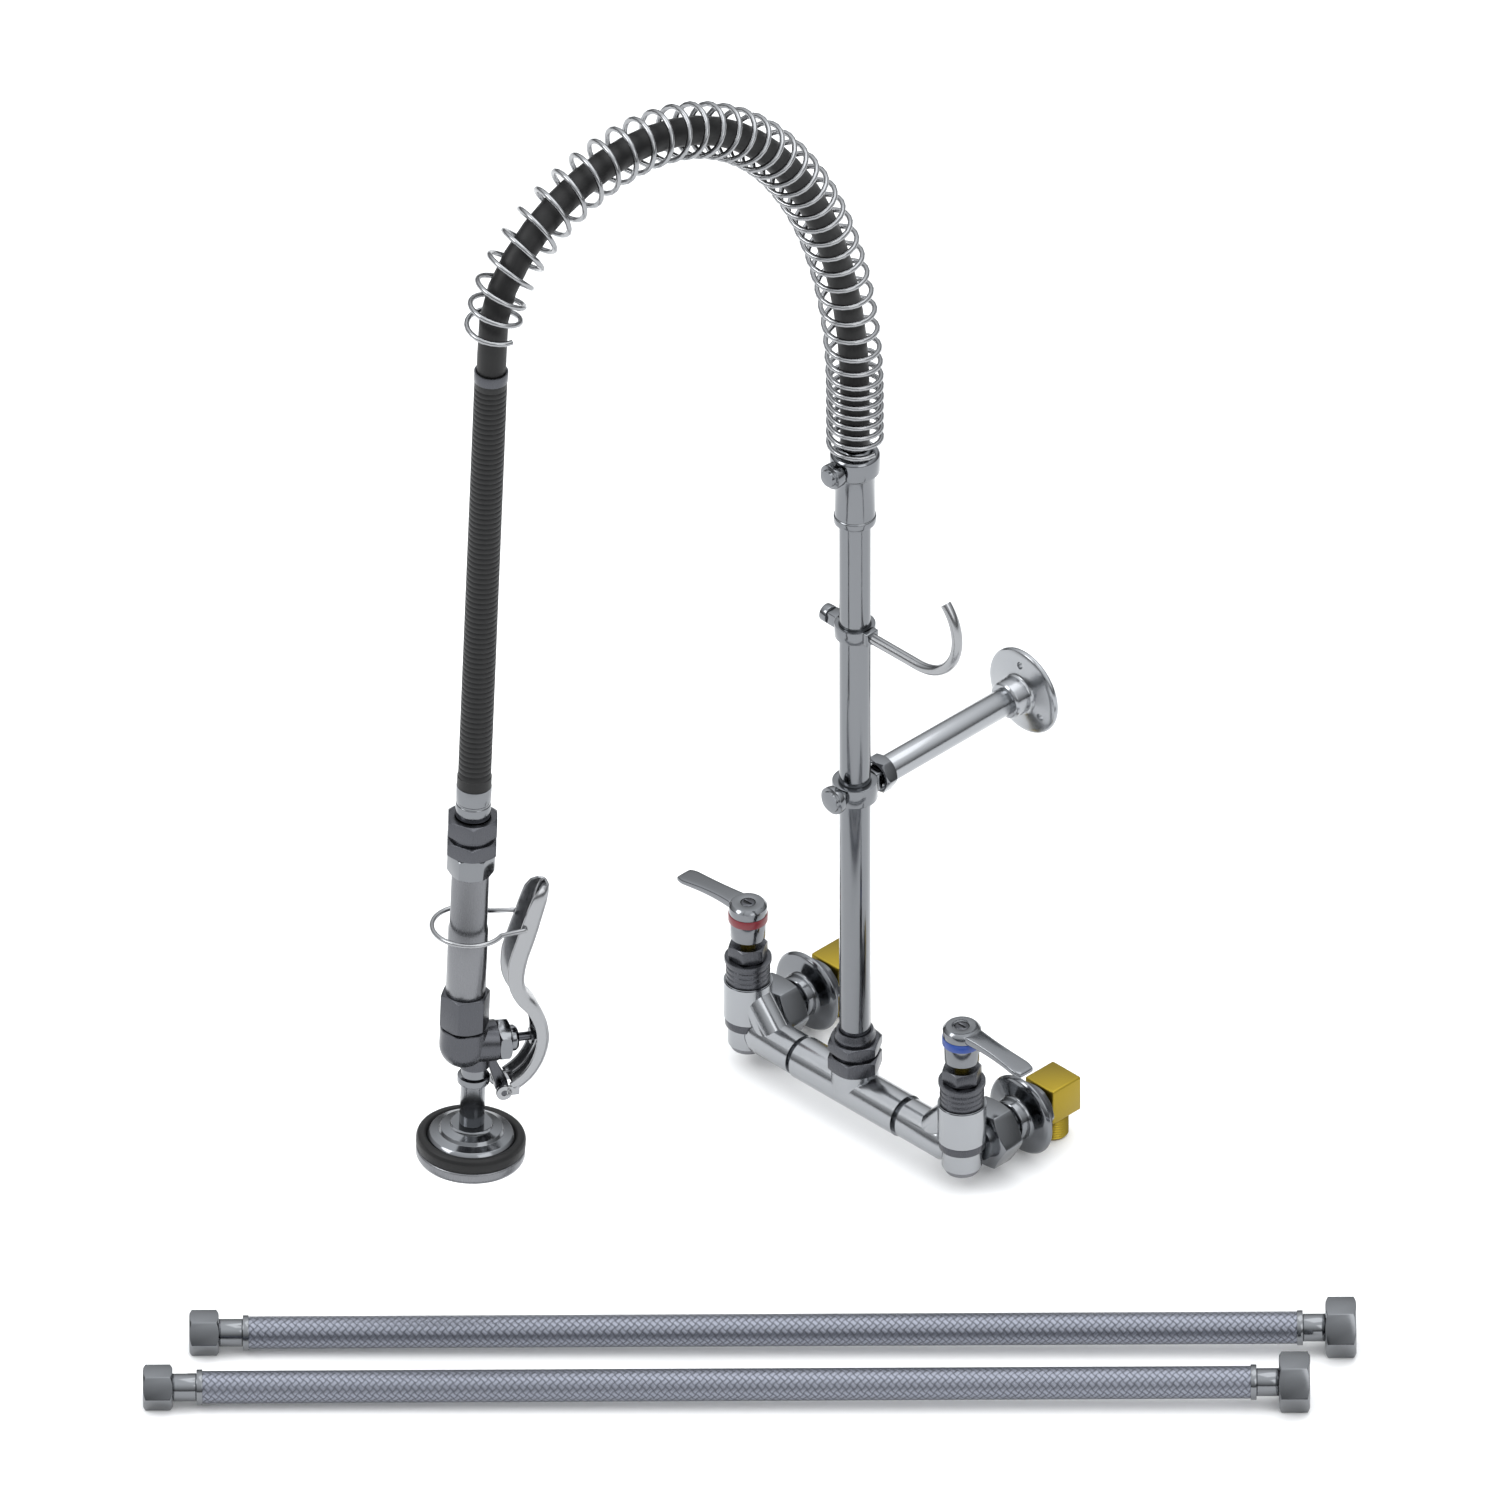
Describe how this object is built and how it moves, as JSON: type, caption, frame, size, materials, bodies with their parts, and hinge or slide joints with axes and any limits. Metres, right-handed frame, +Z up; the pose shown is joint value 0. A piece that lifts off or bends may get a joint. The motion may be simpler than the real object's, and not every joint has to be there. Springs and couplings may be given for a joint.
{
  "type": "pre rinse faucet",
  "caption": "Wall-mounted pre-rinse faucet with a riser, an overhead spring, a hanging hose with a squeeze-lever spray valve, and two loose supply hoses.",
  "frame": {"origin": "midway between the two inlet nipples, on the front face of the splash panel, at the height of the inlets' axes", "axes": "+Z up along the riser, +Y into the wall, +X to the cold side"},
  "size_m": [0.6244, 0.7406, 0.9278],
  "materials": {
    "chrome_plate": "polished chrome plate over brass",
    "satin_nickel": "satin, darker than the plate",
    "stainless_steel": "bright drawn wire and pressed sheet",
    "brass": "bare cast brass, satin",
    "black_rubber": "matte",
    "red_plastic": "gloss",
    "blue_plastic": "gloss",
    "braided_steel": "woven stainless wire"
  },
  "bodies": {
    "base": {"faucet_body": "chrome_plate", "bonnet_washers": "chrome_plate", "valve_bonnets": "satin_nickel", "bottom_caps": "chrome_plate", "inlet_tailpieces": "chrome_plate", "coupling_nuts": "chrome_plate", "wall_flanges": "chrome_plate", "inlet_nipples": "chrome_plate", "backing_washers": "satin_nickel", "lock_nuts": "chrome_plate", "inlet_elbows": "brass", "riser_nut": "chrome_plate", "riser_collar": "chrome_plate", "riser": "chrome_plate", "bracket_clamp": "chrome_plate", "bracket_screw": "chrome_plate", "bracket_nut": "chrome_plate", "bracket_tube": "chrome_plate", "bracket_flange": "chrome_plate"},
    "finger_hook_arm": {"hook_clamp": "chrome_plate", "finger_hook": "stainless_steel", "hook_screw": "chrome_plate"},
    "hot_handle": {"hot_valve_plug": "brass", "hot_lever": "chrome_plate", "hot_index_ring": "red_plastic", "hot_handle_screw": "satin_nickel"},
    "cold_handle": {"cold_valve_plug": "brass", "cold_lever": "chrome_plate", "cold_index_ring": "blue_plastic", "cold_handle_screw": "satin_nickel"},
    "spring_arm": {"spring_body": "chrome_plate", "spring_body_screw": "chrome_plate", "hose_top_fitting": "chrome_plate", "overhead_spring": "stainless_steel", "hose_arc": "black_rubber"},
    "hanging_hose": {"hose_drop": "black_rubber", "spring_end_ferrule": "satin_nickel", "hose_grip": "black_rubber", "hose_end_ferrule": "chrome_plate"},
    "spray_valve": {"hose_swivel_nut": "chrome_plate", "spray_adapter": "chrome_plate", "spray_barrel": "satin_nickel", "barrel_nut": "chrome_plate", "spray_valve_body": "satin_nickel", "spray_bonnet": "chrome_plate", "spray_neck": "chrome_plate", "spray_bell": "chrome_plate", "bumper_ring": "black_rubber", "spray_face": "satin_nickel", "face_screw": "satin_nickel", "lever_pin": "satin_nickel"},
    "lever": {"squeeze_lever": "stainless_steel"},
    "stem": {"valve_stem": "satin_nickel"},
    "catch_ring": {"hold_down_ring": "stainless_steel"},
    "supply_a": {"supply_hose_a": "braided_steel", "supply_fittings_a": "chrome_plate"},
    "supply_b": {"supply_hose_b": "braided_steel", "supply_fittings_b": "chrome_plate"}
  },
  "joints": [
    {"name": "hot_handle_turn", "type": "hinge", "parent": "base", "child": "hot_handle", "pos_m": [-0.1016, -0.057, 0.05], "axis": [0, 0, 1], "range_deg": [0, 90]},
    {"name": "cold_handle_turn", "type": "hinge", "parent": "base", "child": "cold_handle", "pos_m": [0.1016, -0.057, 0.05], "axis": [0, 0, -1], "range_deg": [0, 90]},
    {"name": "finger_hook_turn", "type": "hinge", "parent": "base", "child": "finger_hook_arm", "pos_m": [0, -0.057, 0.377], "axis": [0, 0, 1], "range_deg": [-90, 90]},
    {"name": "arm_swing", "type": "hinge", "parent": "base", "child": "spring_arm", "pos_m": [0, -0.057, 0.5], "axis": [0, 0, 1], "range_deg": [-90, 90]},
    {"name": "hose_sway", "type": "hinge", "parent": "spring_arm", "child": "hanging_hose", "pos_m": [0, -0.401, 0.791], "axis": [1, 0, 0], "range_deg": [-20, 20], "stiffness_Nm_per_rad": 2},
    {"name": "spray_swivel", "type": "hinge", "parent": "hanging_hose", "child": "spray_valve", "pos_m": [0, -0.42054, 0.39148], "axis": [0, 0.0489, 0.9988], "continuous": true},
    {"name": "lever_squeeze", "type": "hinge", "parent": "spray_valve", "child": "lever", "pos_m": [0.0135, -0.4073, 0.18358], "axis": [0.866, -0.4994, 0.0244], "range_deg": [0, 8], "stiffness_Nm_per_rad": 8, "springref_deg": -6.88},
    {"name": "stem_slide", "type": "slide", "parent": "spray_valve", "child": "stem", "axis": [-0.5, -0.865, 0.0423], "range_m": [0, 0.006]},
    {"name": "ring_swing", "type": "hinge", "parent": "lever", "child": "catch_ring", "pos_m": [0.01825, -0.39268, 0.31402], "axis": [-0.866, 0.4994, -0.0244], "range_deg": [0, 28]},
    {"name": "supply_a_lift", "type": "slide", "parent": "base", "child": "supply_a", "axis": [0, 0, 1], "range_m": [0, 0.05]},
    {"name": "supply_b_lift", "type": "slide", "parent": "base", "child": "supply_b", "axis": [0, 0, 1], "range_m": [0, 0.05]}
  ],
  "couplings": [
    {"joint": "stem_slide", "follows": "lever_squeeze", "m_per_rad": 0.0385}
  ]
}
